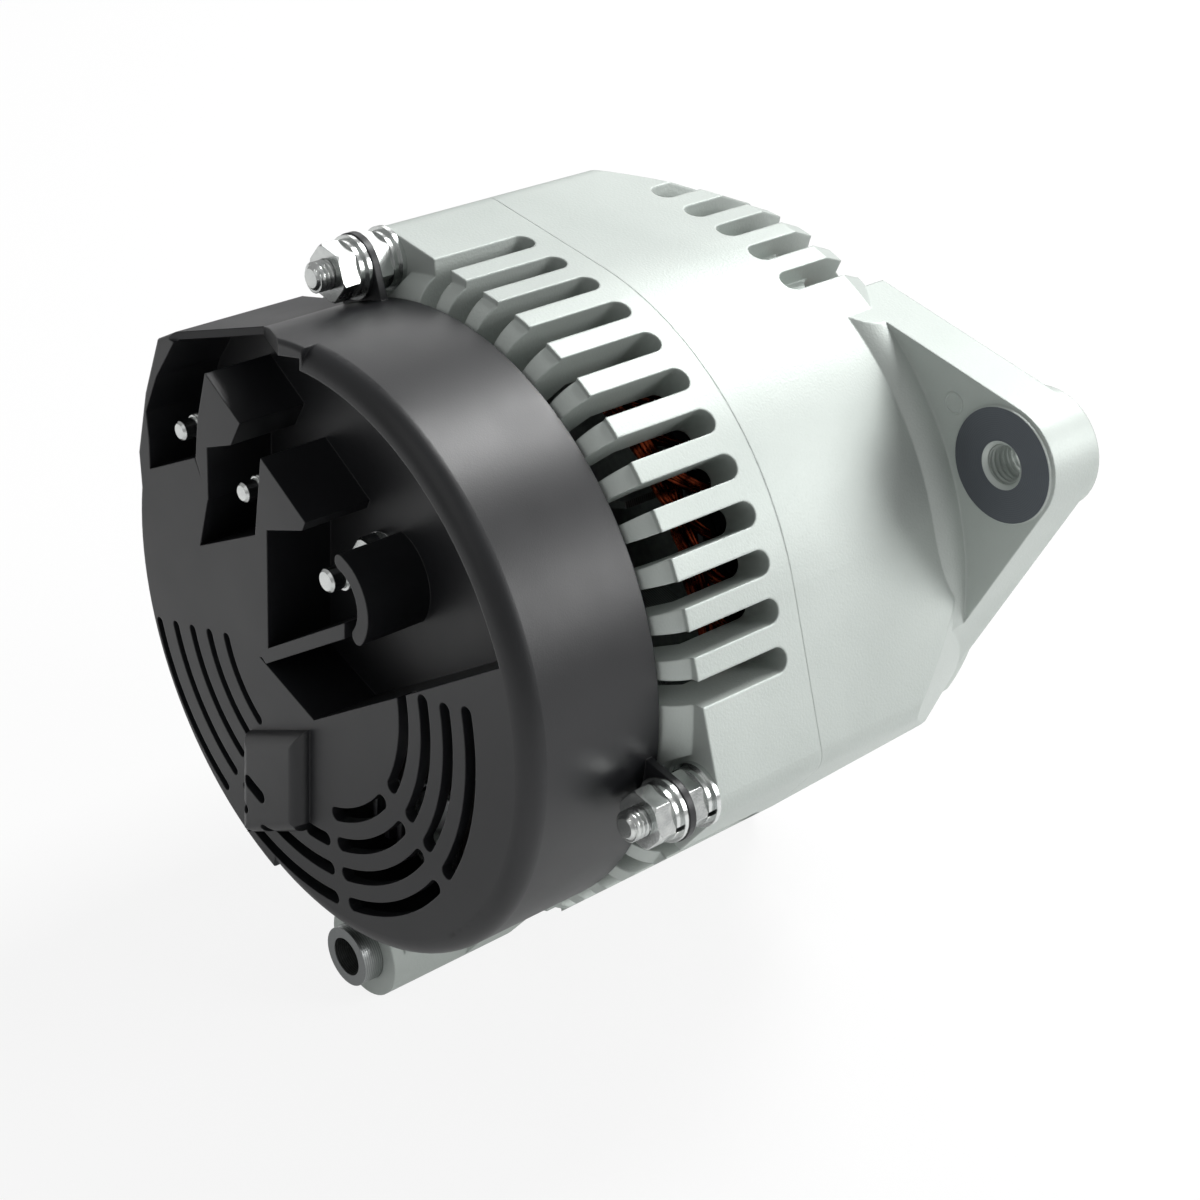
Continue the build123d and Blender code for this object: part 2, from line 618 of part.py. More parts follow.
def rear_cover():
    flat_left, flat_right = (6.0, cover_radius - 0.35), (47.6, 48.6)
    bulge = outline([flat_left, flat_right, (53.5, 45.0), (58.6, 31.5), (61.9, 17.0), (61.0, 5.0), (0, 0)])
    outer = Circle(cover_radius) + bulge
    inner = offset(outer, amount=-cover_wall)
    block = prism(outer, cover_front_y, cover_rear_y)
    rear_edges = block.edges().filter_by_position(Axis.Y, cover_rear_y - 0.01, cover_rear_y + 0.01)
    crisp_side = outline([(0, 0), (8, 90), (90, 90), (90, -90), (24, -90)])
    crisp_side = prism(crisp_side, cover_front_y - 1, cover_rear_y + 1)
    soft_half = fillet(rear_edges, cover_edge_radius) - crisp_side
    crisp_half = fillet(rear_edges, cover_sharp_edge_radius) & crisp_side
    shell = soft_half + crisp_half
    cavity = prism(inner, cover_front_y, cover_rear_y - cover_wall)
    floor_inner_y = pocket_floor_y - cover_skin

    # Recess for the terminals, with the barriers left standing, cut down to the pocket floor
    rim = Circle(cover_radius - cover_edge_radius - 0.4) + outline([
        (5.9, 50.0), (5.9, cover_radius - 2.3), (46.9, 47.2), (53.9, 36.7), (58.1, 27.4),
        (57.4, 21.4), (57.4, 14.0), (40.0, 0.0)])
    recess_outline = rim & outline([
        (57.4, 14.8), (41.0, 24.4), (36.6, 17.6), (39.9, 5.2), (20.6, 16.6), (19.6, -10.6), (1.6, -15.8),
        (-25.6, 4.1), (-44.0, 17.8), (-60.0, 29.7), (-70.0, 60.0), (0.0, 75.0), (60.0, 60.0), (60.0, 27.0)])
    well_outline = inner & outline([
        (61, 11), (43, 3), (22, -14.5), (1.5, -19), (-28.5, 2), (-47, 15.5), (-62, 26.7), (-75, 60),
        (0, 80), (62, 62), (62, 30)])
    well = prism(well_outline, floor_inner_y, cover_rear_y - 0.01)
    shell = shell - (cavity - well) - prism(recess_outline, pocket_floor_y, cover_rear_y + 1)

    along = (-sin(radians(barrier_angle)), cos(radians(barrier_angle)))
    up = (cos(radians(barrier_angle)), sin(radians(barrier_angle)))

    def on_barrier(reach, height):
        return up[0] * height - along[0] * reach, up[1] * height - along[1] * reach

    first_head = [on_barrier(53.0, barrier_height), on_barrier(40.2, barrier_height),
                  (28.4, 32.6), (36.6, 28.6), (36.6, 17.0), (40.6, 24.4), (39.6, 33.3)]
    second_head = [on_barrier(32.2, barrier_height - 0.8), on_barrier(16.2, barrier_height - 0.8),
                   (5.3, 24.6), (16.8, 19.4), (16.8, -9.2), (20.6, -11.0), (20.6, 17.0)]
    bar = [(17.5, -11.0), (-8.0, 7.6), (-8.0, 11.0), (20.2, -9.6)]
    walls = [prism(outline(points), pocket_floor_y - 0.5, cover_rear_y) for points in
             (first_head, second_head, bar)]
    shroud = SlotArc(CenterArc(shroud_centre, shroud_radius, 100, 115), shroud_thickness)
    walls.append(prism(shroud, pocket_floor_y - 0.5, cover_rear_y - 0.5))
    hump_top_y = cover_rear_y + hump_height
    hump_face = outline([(22.8, -29.5), (2.9, -18.7), (3.0, -42.7), (23.4, -54.8)])
    hump = prism(hump_face, cover_rear_y - 1.0, hump_top_y)
    hump_edges = hump.edges().filter_by_position(Axis.Y, hump_top_y - 0.1, hump_top_y + 0.1)
    hump = fillet(hump_edges, hump_height - 0.3)
    body = fused([shell] + walls + [hump])

    # A shallow notch in the flat top's rear edge lets the first cable lie out upwards
    notch_side = Plane(origin=(0, 0, 46.8), x_dir=(1, 0, 0), z_dir=(0, 0, 1))
    notch = extrude(notch_side * outline([
        (50.0, cover_rear_y + 0.6), (31.0, cover_rear_y - notch_depth), (12.3, cover_rear_y + 0.1),
        (12.3, cover_rear_y + 2.0), (50.0, cover_rear_y + 2.0)]), amount=20.0, dir=(0, 0, 1))
    cuts = [notch]
    cuts += [prism(slot, cover_rear_y - cover_wall - 1, hump_top_y + 1) for slot in vent_slots()]
    for (x, z), radius in terminals:
        cuts.append(Pos(x, 0, z) * rod(radius + stud_hole_clearance, floor_inner_y - 1, pocket_floor_y + 1))
    body = body.cut(*cuts)

    tab = hull_of([(stud_circle, 0, tab_width / 2), (cover_radius - 1.0, 0, tab_width / 2)])
    tab = prism(tab, hardware_y[3], hardware_y[4]) - rod(cover_radius - 1.5, cover_front_y, cover_rear_y)
    tab = tab - Pos(stud_circle, 0, 0) * rod(stud_radius + stud_hole_clearance, cover_front_y, cover_rear_y)
    return fused([body] + around(tab, stud_angles))


vent_centre = (6.4, -3.4)
vent_first_radius = 26.2
vent_pitch = 6.5
vent_width = 3.0
# ring number, first angle, last angle, width
vent_table = (
    (0, 302, 341, 2.2), (1, 302, 341, 2.2), (2, 301, 341, 2.2), (3, 300, 341, 2.2), (4, 300, 341, 2.2),
    (1, 166, 205, 3.0), (2, 166, 206, 3.0), (3, 166, 207, 3.0), (4, 165, 207, 3.0),
    (1, 216, 248, 3.0), (2, 214, 249, 3.0), (3, 213, 250, 3.0), (4, 214, 250, 3.0),
    (2, 257, 265, 3.0), (3, 257, 280, 3.0), (4, 257, 290, 3.0),
    (1.82, 284, 290, 3.2), (2.97, 289, 294, 2.6))


def vent_slots():
    slots = []
    for ring, start, end, width in vent_table:
        radius = vent_first_radius + vent_pitch * ring
        slots.append(SlotArc(CenterArc(vent_centre, radius, start, end - start), width))
    return slots


def terminal_stud(place_xz, radius, seat_y):
    """A stud drawn at its core size inside the nut and at its tip, and at full size between."""
    x, z = place_xz
    core = radius - terminal_thread_depth
    flange = prism(hexagon(9.0), seat_y - 2.0, seat_y)
    shank = rod(core, seat_y - 0.5, terminal_nut_top_y + 0.4)
    thread = rod(radius, terminal_nut_top_y + 0.3, terminal_end_y - 3.5)
    tip = rod(core, terminal_end_y - 3.6, terminal_end_y)
    return Pos(x, 0, z) * fused([flange, shank, thread, tip])


# Brush gear hangs below the slip rings
brush_tip_z = -(slip_ring_radius + brush_clearance)
brush_back_z = brush_tip_z - brush_length
spring_end_z = brush_back_z - 9.0
holder_floor_z = spring_end_z - 2.0
inner_brush_y = inner_ring_y + slip_ring_width / 2
outer_brush_y = outer_ring_y + slip_ring_width / 2


def brush(centre_y):
    block = Pos(0, centre_y, (brush_tip_z + brush_back_z) / 2 + 1.5)
    block = block * Box(brush_width, brush_thickness, brush_length + 3.0)
    return block - rod(slip_ring_radius + brush_clearance, centre_y - 10, centre_y + 10)


def brush_holder():
    low_y = inner_brush_y - brush_thickness / 2 - brush_holder_wall
    high_y = outer_brush_y + brush_thickness / 2 + brush_holder_wall
    top_z = -(slip_ring_radius + 2.6)
    body = Pos(0, (low_y + high_y) / 2, (top_z + holder_floor_z) / 2)
    body = body * Box(brush_width + 4.0, high_y - low_y, top_z - holder_floor_z)
    for y in (inner_brush_y, outer_brush_y):
        tunnel = Pos(0, y, (top_z + spring_end_z) / 2 + 1.0)
        body -= tunnel * Box(brush_width + 0.3, brush_thickness + 0.3, top_z - spring_end_z + 2.0)
    return body


def save(node, shape):
    os.makedirs("parts", exist_ok=True)
    export_step(shape, f"parts/{node}.step")


def main():
    parts = {}
    parts["slip_ring_end_bracket"] = rear_casting()
    parts["drive_end_bracket"] = front_casting()
    parts["stator_core"] = stator_core()
    parts["stator_windings"] = stator_windings()

    parts["rotor_shaft"] = rotor_shaft()
    parts["front_claw_pole"] = claw_pole(rotor_front_y, 1)
    parts["rear_claw_pole"] = claw_pole(rotor_rear_y, -1)
    coil_front = rotor_front_y + claw_disc_thickness + 0.2
    coil_rear = rotor_rear_y - claw_disc_thickness - 0.2
    parts["rotor_core"] = tube(core_radius, 10.0 + fit_clearance, coil_front - 0.2, coil_rear + 0.2)
    bobbin_bore = core_radius + 0.2
    bobbin_tube = bobbin_bore + bobbin_wall
    flange_radius = coil_outer_radius + 0.6
    wound_front, wound_rear = coil_front + bobbin_wall, coil_rear - bobbin_wall
    parts["field_bobbin"] = turned([
        (bobbin_bore, coil_front), (flange_radius, coil_front), (flange_radius, wound_front),
        (bobbin_tube, wound_front), (bobbin_tube, wound_rear), (flange_radius, wound_rear),
        (flange_radius, coil_rear), (bobbin_bore, coil_rear)])
    parts["field_coil"] = tube(coil_outer_radius, bobbin_tube + fit_clearance, wound_front, wound_rear)
    parts["front_fan"] = fan(rotor_front_y, -1)
    parts["rear_fan"] = fan(rotor_rear_y, 1)

    ring_bore = slip_ring_radius - 2.0
    hub_points = [(4.0 + fit_clearance, rear_bearing_rear_y + 0.2), (ring_bore, rear_bearing_rear_y + 0.2)]
    hub_points += [(ring_bore, shaft_end_y), (4.0 + fit_clearance, shaft_end_y)]
    hub = turned(hub_points)
    collars = [tube(slip_ring_radius - 0.6, ring_bore - 0.5, inner_ring_y + slip_ring_width, outer_ring_y),
               tube(slip_ring_radius - 0.6, ring_bore - 0.5, outer_ring_y + slip_ring_width, shaft_end_y),
               tube(slip_ring_radius - 0.6, ring_bore - 0.5, rear_bearing_rear_y + 0.2, inner_ring_y)]
    parts["slip_ring_hub"] = fused([hub] + collars)
    for node, y in (("inner_slip_ring", inner_ring_y), ("outer_slip_ring", outer_ring_y)):
        parts[node] = tube(slip_ring_radius, ring_bore + fit_clearance, y, y + slip_ring_width)

    front = bearing(front_bearing_od, front_bearing_bore, front_bearing_width, front_bearing_y)
    rear = bearing(rear_bearing_od, rear_bearing_bore, rear_bearing_width, rear_bearing_y)
    for name, set_of_four in (("front", front), ("rear", rear)):
        for piece, shape in zip(("outer_race", "inner_race", "balls", "cage"), set_of_four):
            parts[f"{name}_bearing_{piece}"] = shape
    parts["rear_bearing_sleeve"] = tube(
        rear_bearing_od / 2 + bearing_sleeve_wall - fit_clearance, rear_bearing_od / 2 + fit_clearance,
        rear_bearing_y, rear_bearing_rear_y)

    retainer_thickness = 1.8
    retainer_rear_y = front_bearing_rear_y + retainer_thickness
    head_height = 1.0
    at_screw = Pos(front_bearing_od / 2 + 2.6, 0, 0)
    screw_angles = evenly(4, 45)
    shank = rod(retainer_screw_radius, front_bearing_rear_y - 8, retainer_rear_y)
    head = rod(retainer_head_radius, retainer_rear_y - head_height, retainer_rear_y)
    parts["retainer_screws"] = group(around(at_screw * fused([shank, head]), screw_angles))
    shank_hole = rod(retainer_screw_radius + fit_clearance, front_bearing_rear_y - 9, retainer_rear_y + 1)
    head_hole = rod(
        retainer_head_radius + fit_clearance, retainer_rear_y - head_height, retainer_rear_y + 1)
    plate = tube(front_hub_radius + 0.5, front_bearing_od / 2 - 4.0, front_bearing_rear_y, retainer_rear_y)
    screw_holes = around(at_screw * fused([shank_hole, head_hole]), screw_angles)
    parts["bearing_retainer"] = plate.cut(*screw_holes)
    tapped_holes = around(at_screw * shank_hole, screw_angles)
    parts["drive_end_bracket"] = parts["drive_end_bracket"].cut(*tapped_holes)

    hub_rear_y = pulley_half_width + 2.0
    parts["pulley"] = pulley()
    parts["shaft_collar"] = tube(12.5, shaft_radius, hub_rear_y, front_bearing_y)
    nut_rear_y = -pulley_half_width + pulley_recess_depth - 2.2
    parts["pulley_spring_washer"] = spring_washer(13.0, shaft_radius + 0.1, nut_rear_y, nut_rear_y + 2.2)
    parts["pulley_nut"] = hex_nut(
        pulley_nut_flats, shaft_radius + fit_clearance, nut_rear_y - pulley_nut_height, nut_rear_y)

    stud = rod(stud_radius, seam_y - stud_engagement + 1, stud_end_y)
    at_stud = Pos(stud_circle, 0, 0)
    parts["through_studs"] = group(around(at_stud * stud, stud_angles))
    bore = stud_radius + fit_clearance
    flat_washer = tube(washer_radius, bore + 0.2, 0.0, flat_washer_thickness)
    lock_washer = spring_washer(spring_washer_radius, bore + 0.1, 0.0, spring_washer_thickness)
    nut = hex_nut(nut_flats, bore, 0.0, nut_height)
    stack = (
        ("casting_washers", flat_washer, 0), ("casting_spring_washers", lock_washer, 1),
        ("casting_nuts", nut, 2), ("cover_washers", flat_washer, 4),
        ("cover_spring_washers", lock_washer, 5), ("cover_nuts", nut, 6))
    for node, shape, level in stack:
        seated = at_stud * Pos(0, hardware_y[level], 0) * shape
        parts[node] = group(around(seated, stud_angles))

    parts["rear_cover"] = rear_cover()
    stud_seats = (
        ("main_output_stud", positive_plate_y), ("second_output_stud", positive_plate_y),
        ("charge_lamp_stud", pocket_floor_y - cover_skin))
    for (node, seat_y), (place_xz, radius) in zip(stud_seats, terminals):
        parts[node] = terminal_stud(place_xz, radius, seat_y)
    washers, nuts = [], []
    for (x, z), radius in terminals:
        washers.append(Pos(x, 0, z) * tube(radius * 1.9, radius + 0.1, pocket_floor_y, terminal_nut_y))
        nuts.append(Pos(x, 0, z) * hex_nut(
            radius * 3.2, radius - terminal_thread_depth + fit_clearance, terminal_nut_y,
            terminal_nut_top_y))
    parts["terminal_washers"] = group(washers)
    parts["terminal_nuts"] = group(nuts)

    negative, positive = heat_sinks()
    negative_plate = prism(negative, negative_plate_y, negative_plate_y + heat_sink_thickness)
    positive_plate = prism(positive, positive_plate_y, positive_plate_y + heat_sink_thickness)
    positive_rear_y = positive_plate_y + heat_sink_thickness
    at_support = Pos(support_circle, 0, 0)
    at_diode = Pos(diode_circle, 0, 0)
    negative_diode = at_diode * rod(diode_radius, negative_plate_y, negative_plate_y + diode_height)
    positive_diode = at_diode * rod(diode_radius, positive_rear_y - diode_height, positive_rear_y)
    diode_hole = at_diode * rod(diode_radius + fit_clearance, -heat_sink_thickness, 2 * heat_sink_thickness)
    negative_cuts = around(Pos(0, negative_plate_y, 0) * diode_hole, negative_diode_angles)
    positive_cuts = around(Pos(0, positive_plate_y, 0) * diode_hole, positive_diode_angles)
    screw_hole = rod(support_screw_radius + 0.1, negative_plate_y - 1, positive_rear_y + 1)
    support_cuts = around(at_support * screw_hole, support_angles)
    for (x, z), radius in terminals:
        positive_cuts.append(Pos(x, 0, z) * rod(radius + 0.1, positive_plate_y - 1, positive_rear_y + 1))
    parts["negative_heat_sink"] = negative_plate.cut(*negative_cuts, *support_cuts)
    parts["positive_heat_sink"] = positive_plate.cut(*positive_cuts, *support_cuts)
    parts["negative_diodes"] = group(around(negative_diode, negative_diode_angles))
    parts["positive_diodes"] = group(around(positive_diode, positive_diode_angles))
    spacer = tube(
        2 * support_screw_radius, support_screw_radius + 0.1, negative_plate_y + heat_sink_thickness,
        positive_plate_y)
    parts["rectifier_insulators"] = group(around(at_support * spacer, support_angles))
    rectifier_screw = fused([
        rod(support_screw_radius, casting_rear_y, positive_rear_y),
        rod(support_screw_radius + 1.3, positive_rear_y, positive_rear_y + 0.9)])
    parts["rectifier_screws"] = group(around(at_support * rectifier_screw, support_angles))

    parts["inner_brush"] = brush(inner_brush_y)
    parts["outer_brush"] = brush(outer_brush_y)
    parts["brush_holder"] = brush_holder()
    for node, y in (("inner_brush_spring", inner_brush_y), ("outer_brush_spring", outer_brush_y)):
        coil = spring(brush_spring_wire / 2, 1.6, 6, spring_end_z + 0.4, brush_back_z - 0.4)
        parts[node] = Pos(0, y, 0) * coil
    regulator_top = holder_floor_z - 0.1
    regulator_low = -(cover_radius - cover_wall - regulator_rim_gap)
    regulator_rear_y = casting_rear_y + regulator_thickness
    regulator_z = (regulator_top + regulator_low) / 2
    body = Box(regulator_width, regulator_thickness, regulator_top - regulator_low)
    body = Pos(0, casting_rear_y + regulator_thickness / 2, regulator_z) * body
    screw_places = [Pos(side * regulator_screw_x, 0, regulator_z) for side in (-1, 1)]
    screw_hole = rod(regulator_screw_radius + 0.1, casting_rear_y - 1, regulator_rear_y + 1)
    parts["regulator"] = body.cut(*[at * screw_hole for at in screw_places])
    regulator_screw = fused([
        rod(regulator_screw_radius, casting_rear_y, regulator_rear_y),
        rod(regulator_screw_radius + 1.6, regulator_rear_y, regulator_rear_y + 2.4)])
    parts["regulator_screws"] = group([at * regulator_screw for at in screw_places])

    bush = tube(
        bush_outer_radius, foot_bolt_radius, rear_foot_front_y - 1.0, rear_foot_rear_y + bush_overhang)
    parts["foot_bush"] = Pos(0, 0, foot_z) * bush

    for node, shape in parts.items():
        save(node, shape)
    print(len(parts), "nodes")


main()
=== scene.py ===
import json
import math
import random

import bmesh
import bpy
from mathutils import Matrix, Vector


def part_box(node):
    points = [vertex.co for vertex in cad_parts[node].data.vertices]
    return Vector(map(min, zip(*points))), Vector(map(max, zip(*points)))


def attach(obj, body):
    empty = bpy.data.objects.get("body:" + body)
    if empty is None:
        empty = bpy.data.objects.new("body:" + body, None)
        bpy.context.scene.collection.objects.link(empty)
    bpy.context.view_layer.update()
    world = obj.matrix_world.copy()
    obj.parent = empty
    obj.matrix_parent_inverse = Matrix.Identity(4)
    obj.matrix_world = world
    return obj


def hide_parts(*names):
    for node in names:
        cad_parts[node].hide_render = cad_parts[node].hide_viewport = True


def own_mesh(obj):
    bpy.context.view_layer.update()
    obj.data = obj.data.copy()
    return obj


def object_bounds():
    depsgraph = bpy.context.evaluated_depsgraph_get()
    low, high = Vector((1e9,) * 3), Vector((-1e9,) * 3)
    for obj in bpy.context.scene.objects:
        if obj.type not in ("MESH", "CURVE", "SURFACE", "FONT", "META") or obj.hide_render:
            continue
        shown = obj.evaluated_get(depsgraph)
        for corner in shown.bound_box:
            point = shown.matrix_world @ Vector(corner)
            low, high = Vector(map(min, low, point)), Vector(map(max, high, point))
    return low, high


# Vehicle alternator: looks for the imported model, in metres. +Y runs from the pulley to the black cover.
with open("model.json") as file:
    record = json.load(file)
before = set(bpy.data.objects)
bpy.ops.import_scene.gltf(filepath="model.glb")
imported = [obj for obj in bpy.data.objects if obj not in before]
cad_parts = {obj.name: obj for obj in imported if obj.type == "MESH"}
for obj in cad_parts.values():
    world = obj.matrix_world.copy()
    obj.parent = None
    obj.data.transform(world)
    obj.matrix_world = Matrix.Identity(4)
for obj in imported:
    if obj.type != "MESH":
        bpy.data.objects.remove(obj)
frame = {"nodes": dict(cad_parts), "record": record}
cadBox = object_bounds()
mm = 0.001
smallEdge = 0.25 * mm  # rounding that light finds on the edge of a machined or moulded piece


def hexColour(text):  # sRGB hex to linear
    parts = [int(text[i:i + 2], 16) / 255 for i in (0, 2, 4)]
    return [c / 12.92 if c <= 0.04045 else ((c + 0.055) / 1.055) ** 2.4 for c in parts] + [1.0]


def addNode(tree, kind, settings=None, links=None):
    node = tree.nodes.new(kind)
    for name, value in (settings or {}).items():
        if isinstance(name, int) or name in node.inputs:
            node.inputs[name].default_value = value
        else:
            setattr(node, name, value)
    for name, source in (links or {}).items():
        tree.links.new(source, node.inputs[name])
    return node


def newFinish(name, metallic):
    material = bpy.data.materials.new(name)
    material.use_nodes = True
    tree = material.node_tree
    tree.nodes.clear()
    shader = addNode(tree, "ShaderNodeBsdfPrincipled", {"Metallic": metallic})
    addNode(tree, "ShaderNodeOutputMaterial", links={"Surface": shader.outputs["BSDF"]})
    place = addNode(tree, "ShaderNodeTexCoord").outputs["Object"]
    return material, tree, shader, place


def dress(tree, shader, colour, rough, bump):  # the three patterns that every finish has
    tree.links.new(colour.outputs[2], shader.inputs["Base Color"])
    tree.links.new(rough.outputs["Result"], shader.inputs["Roughness"])
    tree.links.new(bump.outputs["Normal"], shader.inputs["Normal"])


def makeBlastedCasting():  # die-cast aluminium, sand-blasted: pale and even, with a fine dull grit
    look = {"low": "B2B9B5", "high": "C6CCC8", "patch": 26 * mm, "grit": 0.5 * mm, "depth": 0.05 * mm,
            "edge": 0.6 * mm}
    material, tree, shader, place = newFinish("blastedCastAluminium", 0.55)
    patches = addNode(tree, "ShaderNodeTexNoise", {"Scale": 1 / look["patch"], "Detail": 4.0}, {"Vector": place})
    grit = addNode(tree, "ShaderNodeTexNoise", {"Scale": 1 / look["grit"], "Detail": 2.0}, {"Vector": place})
    colour = addNode(tree, "ShaderNodeMix", {
        "data_type": "RGBA", 6: hexColour(look["low"]), 7: hexColour(look["high"])}, {0: patches.outputs["Fac"]})
    rough = addNode(tree, "ShaderNodeMapRange", {"To Min": 0.5, "To Max": 0.62}, {"Value": grit.outputs["Fac"]})
    edge = addNode(tree, "ShaderNodeBevel", {"Radius": look["edge"], "samples": 6})  # cast edges are never sharp
    bump = addNode(tree, "ShaderNodeBump", {"Distance": look["depth"]}, {
        "Height": grit.outputs["Fac"], "Normal": edge.outputs["Normal"]})
    dress(tree, shader, colour, rough, bump)
    return material


def makeMouldedNylon():  # glass-filled nylon from a lightly eroded mould: near black, half gloss
    look = {"low": "121315", "high": "1E1F22", "patch": 22 * mm, "grain": 0.3 * mm, "depth": 0.012 * mm,
            "edge": 0.35 * mm}
    material, tree, shader, place = newFinish("mouldedBlackNylon", 0.0)
    patches = addNode(tree, "ShaderNodeTexNoise", {"Scale": 1 / look["patch"], "Detail": 5.0}, {"Vector": place})
    grain = addNode(tree, "ShaderNodeTexNoise", {"Scale": 1 / look["grain"], "Detail": 2.0}, {"Vector": place})
    colour = addNode(tree, "ShaderNodeMix", {
        "data_type": "RGBA", 6: hexColour(look["low"]), 7: hexColour(look["high"])}, {0: patches.outputs["Fac"]})
    rough = addNode(tree, "ShaderNodeMapRange", {"To Min": 0.3, "To Max": 0.5}, {"Value": patches.outputs["Fac"]})
    edge = addNode(tree, "ShaderNodeBevel", {"Radius": look["edge"], "samples": 6})
    bump = addNode(tree, "ShaderNodeBump", {"Distance": look["depth"]}, {
        "Height": grain.outputs["Fac"], "Normal": edge.outputs["Normal"]})
    dress(tree, shader, colour, rough, bump)
    return material


def makeZincPlate():  # bright zinc on turned and rolled steel: clean, a little blue, slightly uneven
    look = {"low": "B9BDBD", "high": "F0F2EF", "patch": 3 * mm, "grain": 0.35 * mm, "depth": 0.01 * mm,
            "edge": 0.2 * mm}
    material, tree, shader, place = newFinish("brightZincPlate", 1.0)
    patches = addNode(tree, "ShaderNodeTexNoise", {"Scale": 1 / look["patch"], "Detail": 3.0}, {"Vector": place})
    grain = addNode(tree, "ShaderNodeTexNoise", {"Scale": 1 / look["grain"], "Detail": 1.0}, {"Vector": place})
    colour = addNode(tree, "ShaderNodeMix", {
        "data_type": "RGBA", 6: hexColour(look["low"]), 7: hexColour(look["high"])}, {0: patches.outputs["Fac"]})
    rough = addNode(tree, "ShaderNodeMapRange", {"To Min": 0.12, "To Max": 0.34}, {"Value": patches.outputs["Fac"]})
    edge = addNode(tree, "ShaderNodeBevel", {"Radius": look["edge"], "samples": 4})
    bump = addNode(tree, "ShaderNodeBump", {"Distance": look["depth"]}, {
        "Height": grain.outputs["Fac"], "Normal": edge.outputs["Normal"]})
    dress(tree, shader, colour, rough, bump)
    return material


def makeTurnedSteel(name, low, high, pitch, roughLow, roughHigh):  # bare turned metal with tool rings round the shaft
    material, tree, shader, place = newFinish(name, 1.0)
    rings = addNode(tree, "ShaderNodeTexWave", {
        "wave_type": "BANDS", "bands_direction": "Y", "Scale": math.pi / 10 / pitch, "Distortion": 1.2,
        "Detail": 2.0}, {"Vector": place})
    colour = addNode(tree, "ShaderNodeMix", {
        "data_type": "RGBA", 6: hexColour(low), 7: hexColour(high)}, {0: rings.outputs["Fac"]})
    rough = addNode(tree, "ShaderNodeMapRange", {"To Min": roughLow, "To Max": roughHigh}, {
        "Value": rings.outputs["Fac"]})
    edge = addNode(tree, "ShaderNodeBevel", {"Radius": smallEdge, "samples": 4})
    bump = addNode(tree, "ShaderNodeBump", {"Distance": 0.012 * mm}, {
        "Height": rings.outputs["Fac"], "Normal": edge.outputs["Normal"]})
    dress(tree, shader, colour, rough, bump)
    return material


def makeCloudyFinish(name, metallic, look):  # plain mouldings, forgings and ground steel: soft patches and a fine grain
    material, tree, shader, place = newFinish(name, metallic)
    patches = addNode(tree, "ShaderNodeTexNoise", {"Scale": 1 / look["patch"], "Detail": 3.0}, {"Vector": place})
    grain = addNode(tree, "ShaderNodeTexNoise", {"Scale": 1 / look["grain"], "Detail": 2.0}, {"Vector": place})
    colour = addNode(tree, "ShaderNodeMix", {
        "data_type": "RGBA", 6: hexColour(look["low"]), 7: hexColour(look["high"])}, {0: patches.outputs["Fac"]})
    rough = addNode(tree, "ShaderNodeMapRange", {
        "To Min": look["smooth"], "To Max": look["rough"]}, {"Value": patches.outputs["Fac"]})
    edge = addNode(tree, "ShaderNodeBevel", {"Radius": smallEdge, "samples": 4})
    bump = addNode(tree, "ShaderNodeBump", {"Distance": look["depth"]}, {
        "Height": grain.outputs["Fac"], "Normal": edge.outputs["Normal"]})
    dress(tree, shader, colour, rough, bump)
    return material


def makeLaminations():  # stack of thin electrical steel sheets, drawn at 1 mm pitch so that they show
    look = {"low": "26282A", "high": "55585B", "pitch": 1.0 * mm, "depth": 0.06 * mm}
    material, tree, shader, place = newFinish("laminatedSteel", 0.8)
    sheets = addNode(tree, "ShaderNodeTexWave", {
        "wave_type": "BANDS", "bands_direction": "Y", "Scale": math.pi / 10 / look["pitch"], "Distortion": 0.3},
        {"Vector": place})
    colour = addNode(tree, "ShaderNodeMix", {
        "data_type": "RGBA", 6: hexColour(look["low"]), 7: hexColour(look["high"])}, {0: sheets.outputs["Fac"]})
    rough = addNode(tree, "ShaderNodeMapRange", {"To Min": 0.35, "To Max": 0.55}, {"Value": sheets.outputs["Fac"]})
    bump = addNode(tree, "ShaderNodeBump", {"Distance": look["depth"]}, {"Height": sheets.outputs["Fac"]})
    dress(tree, shader, colour, rough, bump)
    return material


def makeEnamelledCopper():  # winding wire under amber varnish: dark red-brown, with thin warm glints
    look = {"low": "30100A", "high": "B65030", "patch": 3.0 * mm, "runs": 1.0 * mm, "depth": 0.03 * mm}
    material, tree, shader, place = newFinish("enamelledCopper", 1.0)
    patches = addNode(tree, "ShaderNodeTexNoise", {"Scale": 1 / look["patch"], "Detail": 3.0}, {"Vector": place})
    contrast = addNode(tree, "ShaderNodeMapRange", {"From Min": 0.4, "From Max": 0.68}, {
        "Value": patches.outputs["Fac"]})
    runs = addNode(tree, "ShaderNodeTexNoise", {"Scale": 1 / look["runs"], "Detail": 2.0}, {"Vector": place})
    colour = addNode(tree, "ShaderNodeMix", {
        "data_type": "RGBA", 6: hexColour(look["low"]), 7: hexColour(look["high"])}, {0: contrast.outputs["Result"]})
    rough = addNode(tree, "ShaderNodeMapRange", {"To Min": 0.16, "To Max": 0.36}, {"Value": runs.outputs["Fac"]})
    bump = addNode(tree, "ShaderNodeBump", {"Distance": look["depth"]}, {"Height": runs.outputs["Fac"]})
    dress(tree, shader, colour, rough, bump)
    return material


